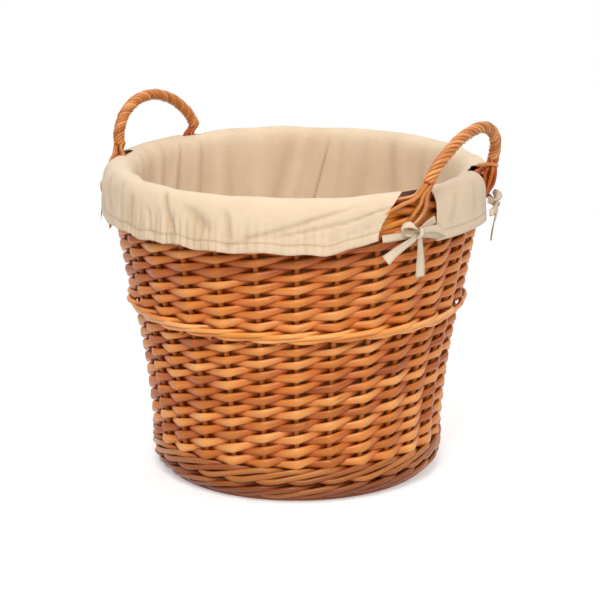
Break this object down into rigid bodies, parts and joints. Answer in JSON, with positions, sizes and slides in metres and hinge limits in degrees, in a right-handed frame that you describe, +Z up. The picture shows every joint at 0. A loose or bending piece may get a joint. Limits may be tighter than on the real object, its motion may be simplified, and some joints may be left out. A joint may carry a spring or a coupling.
{
  "type": "woven laundry basket",
  "caption": "Round willow laundry basket with roped handles and a cloth liner that folds over the rim and ties at the handles.",
  "frame": {"origin": "middle of the foot ring, on the floor", "axes": "+Z up; the two handles lie along +X and -X; -Y is the front cuff"},
  "size_m": [0.4908, 0.4886, 0.4645],
  "materials": {
    "stick_willow": "varnished buff willow, darker butts",
    "weaver_willow": "varnished buff willow, glossy, streaked honey brown",
    "wale_willow": "varnished buff willow",
    "border_willow": "varnished buff willow",
    "rope_willow": "varnished buff willow, slim rods",
    "liner_cloth": "washed cream cotton, plain weave",
    "tie_tape": "folded cotton tie, pale olive cream",
    "elastic": "covered elastic"
  },
  "bodies": {
    "basket": {"base_sticks": "stick_willow", "base_weave": "weaver_willow", "side_stakes": "stick_willow", "foot_ring": "stick_willow", "upsett_wale": "wale_willow", "lower_weavers": "weaver_willow", "middle_wale": "wale_willow", "upper_weavers": "weaver_willow", "top_wale": "wale_willow", "rim_border": "border_willow", "handle_bow_right": "stick_willow", "handle_bow_left": "stick_willow", "handle_roping_right": "rope_willow", "handle_roping_left": "rope_willow", "handle_lashings_right": "rope_willow", "handle_lashings_left": "rope_willow"},
    "liner": {"liner_base_panel": "liner_cloth", "liner_side_panel": "liner_cloth", "cuff_front": "liner_cloth", "cuff_back": "liner_cloth", "flap_right": "liner_cloth", "flap_left": "liner_cloth", "elastic_front": "elastic", "elastic_back": "elastic", "tie_front_right_cuff": "tie_tape", "tie_front_right_flap": "tie_tape", "tie_back_right_cuff": "tie_tape", "tie_back_right_flap": "tie_tape", "tie_front_left_cuff": "tie_tape", "tie_front_left_flap": "tie_tape", "tie_back_left_cuff": "tie_tape", "tie_back_left_flap": "tie_tape"}
  },
  "joints": [
    {"name": "liner_lift", "type": "slide", "parent": "basket", "child": "liner", "axis": [0, 0, 1], "range_m": [0, 0.46], "deforming": ["flap_right", "flap_left", "tie_front_right_cuff", "tie_front_right_flap", "tie_back_right_cuff", "tie_back_right_flap", "tie_front_left_cuff", "tie_front_left_flap", "tie_back_left_cuff", "tie_back_left_flap"]}
  ]
}
